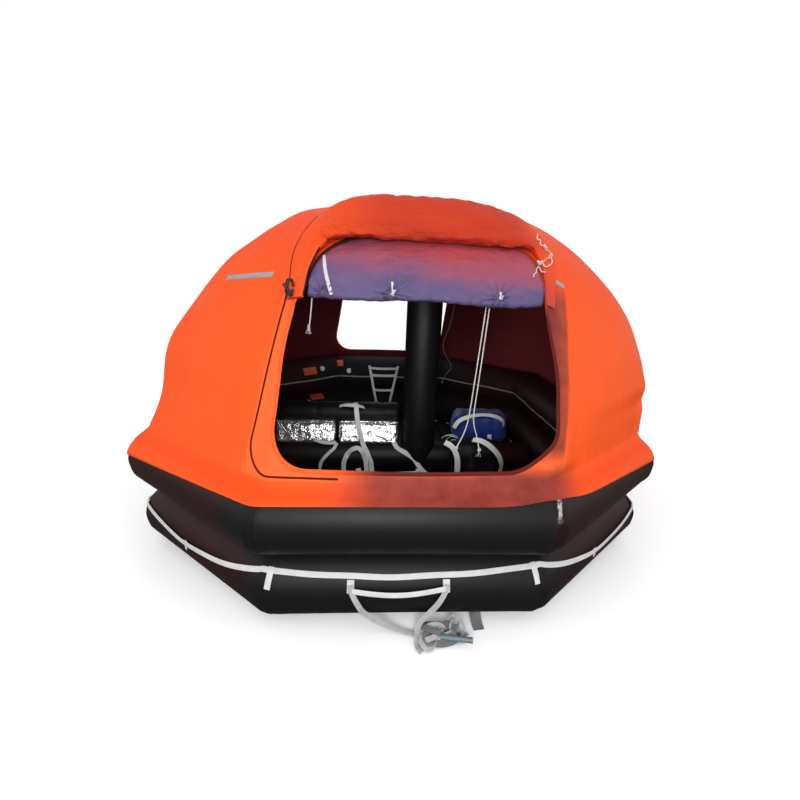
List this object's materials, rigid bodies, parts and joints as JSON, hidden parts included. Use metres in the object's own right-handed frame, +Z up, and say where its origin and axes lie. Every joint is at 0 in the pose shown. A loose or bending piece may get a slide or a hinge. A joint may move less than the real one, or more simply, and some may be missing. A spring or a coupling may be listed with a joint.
{
  "type": "inflatable life raft",
  "caption": "Octagonal inflatable life raft with two stacked tubes, an orange canopy open at a front and a back door, grab lines and boarding straps.",
  "frame": {"origin": "on the ground under the middle of the raft's box", "axes": "+Z up, the front door faces -Y, +X to the right of someone who looks in at the front door"},
  "size_m": [3.072, 3.2472, 1.9832],
  "materials": {
    "bag_black": "woven nylon",
    "bag_blue": "woven nylon",
    "canopy_cloth": "coated cloth, satin",
    "cord_black": "braided cord",
    "cord_white": "braided cord",
    "curtain_cloth": "light coated cloth",
    "cylinder_paint": "gloss paint",
    "floor_rubber": "matt rubber-coated cloth",
    "foil": "crinkled foil",
    "rung_plastic": "matt",
    "tube_rubber": "satin rubber-coated cloth",
    "webbing": "woven webbing"
  },
  "bodies": {
    "root": {"back_boarding_handle": "webbing", "back_boarding_ladder": "webbing", "back_curtain": "curtain_cloth", "back_door_flap_roll": "canopy_cloth", "back_handle_patch_left": "webbing", "back_handle_patch_right": "webbing", "back_inner_ladder": "webbing", "back_ladder_rung": "rung_plastic", "ballast_pocket_1": "floor_rubber", "ballast_pocket_2": "floor_rubber", "ballast_pocket_3": "floor_rubber", "ballast_pocket_4": "floor_rubber", "canopy_back": "canopy_cloth", "canopy_front": "canopy_cloth", "canopy_left_side": "canopy_cloth", "canopy_right_side": "canopy_cloth", "canopy_roof": "canopy_cloth", "centre_column": "tube_rubber", "curtain_cord_dark": "cord_black", "curtain_cord_left": "cord_white", "curtain_cord_right": "cord_white", "door_cord_short": "cord_white", "equipment_bag_black": "bag_black", "equipment_bag_blue": "bag_blue", "floor": "floor_rubber", "foil_pack_left": "foil", "foil_pack_right": "foil", "front_boarding_handle": "webbing", "front_boarding_ladder": "webbing", "front_curtain": "curtain_cloth", "front_door_flap_roll": "canopy_cloth", "front_handle_patch_left": "webbing", "front_handle_patch_right": "webbing", "front_inner_ladder": "webbing", "front_ladder_rung": "rung_plastic", "gas_cylinder": "cylinder_paint", "inner_grab_line": "webbing", "lower_buoyancy_tube": "tube_rubber", "outer_grab_line": "webbing", "roof_arch_tube": "tube_rubber", "stowed_cloth_roll": "bag_black", "thwart_tube": "tube_rubber", "towing_patch_left": "tube_rubber", "towing_patch_right": "tube_rubber", "upper_buoyancy_tube": "tube_rubber"}
  },
  "joints": []
}
